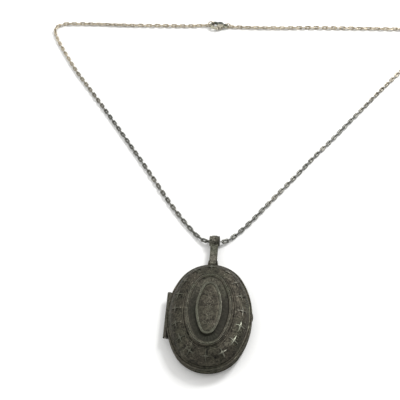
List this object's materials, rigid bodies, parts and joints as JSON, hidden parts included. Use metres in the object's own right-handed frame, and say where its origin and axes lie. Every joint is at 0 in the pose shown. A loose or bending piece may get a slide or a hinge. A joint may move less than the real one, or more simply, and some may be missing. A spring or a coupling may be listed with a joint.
{
  "type": "oval photo locket on a chain",
  "caption": "Oval hinged photo locket with a stepped, star-set front cover, a hinged bail and a fine cable chain closed by a lobster clasp.",
  "frame": {"origin": "centre of the flat oval panel on the back of the case, which rests on the table", "axes": "+Z out of the front cover, +Y from the case towards the bail, +X to the right when looking at the front, away from the hinge; closed and lying on its back at joint value 0"},
  "size_m": [0.1861, 0.1831, 0.0104],
  "materials": {
    "case_silver": "tarnished silver, dark grey-brown in the recesses, rubbed lighter on the edges",
    "star_silver": "silver rubbed bright on raised details",
    "inner_silver": "satin silver inside the case, lightly tarnished",
    "pin_silver": "drawn silver wire",
    "chain_silver": "tarnished silver wire links",
    "clasp_silver": "tarnished cast silver",
    "cover_glass": "thin flat clear cover",
    "photo_card": "aged matt card, left blank"
  },
  "bodies": {
    "chain": {"chain_left": "chain_silver", "chain_right": "chain_silver", "clasp_ring": "chain_silver", "tail_ring": "chain_silver", "clasp_body": "clasp_silver", "clasp_pin": "pin_silver", "clasp_spring": "pin_silver"},
    "clasp_lever": {"clasp_trigger": "clasp_silver"},
    "bail": {"bail_loop": "case_silver"},
    "back_case": {"back_shell": "case_silver", "back_rim": "case_silver", "catch_lip": "inner_silver", "back_knuckles": "case_silver", "hinge_pin": "pin_silver", "back_bezel": "inner_silver", "back_glass": "cover_glass", "back_photo": "photo_card", "bail_lug": "case_silver", "bail_pin": "pin_silver"},
    "front_cover": {"front_rim": "case_silver", "front_shell": "case_silver", "front_tier": "case_silver", "centre_plate": "case_silver", "centre_border": "star_silver", "star_studs": "star_silver", "front_knuckles": "case_silver", "front_bezel": "inner_silver", "front_glass": "cover_glass", "front_photo": "photo_card", "thumb_tab": "case_silver"}
  },
  "joints": [
    {"name": "bail_on_chain", "type": "hinge", "parent": "chain", "child": "bail", "pos_m": [0, 0.0322, 0.0022], "axis": [-1, 0, 0], "range_deg": [0, 90]},
    {"name": "case_on_bail", "type": "hinge", "parent": "bail", "child": "back_case", "pos_m": [0, 0.0216, 0.0032], "axis": [-1, 0, 0], "range_deg": [0, 60]},
    {"name": "cover_hinge", "type": "hinge", "parent": "back_case", "child": "front_cover", "pos_m": [-0.01435, 0, 0.0034], "axis": [0, -1, 0], "range_deg": [0, 160]},
    {"name": "clasp_trigger_pivot", "type": "hinge", "parent": "chain", "child": "clasp_lever", "pos_m": [-0.0046, 0.15805, 0.0014], "axis": [0, 0, -1], "range_deg": [0, 20], "stiffness_Nm_per_rad": 0.002}
  ]
}
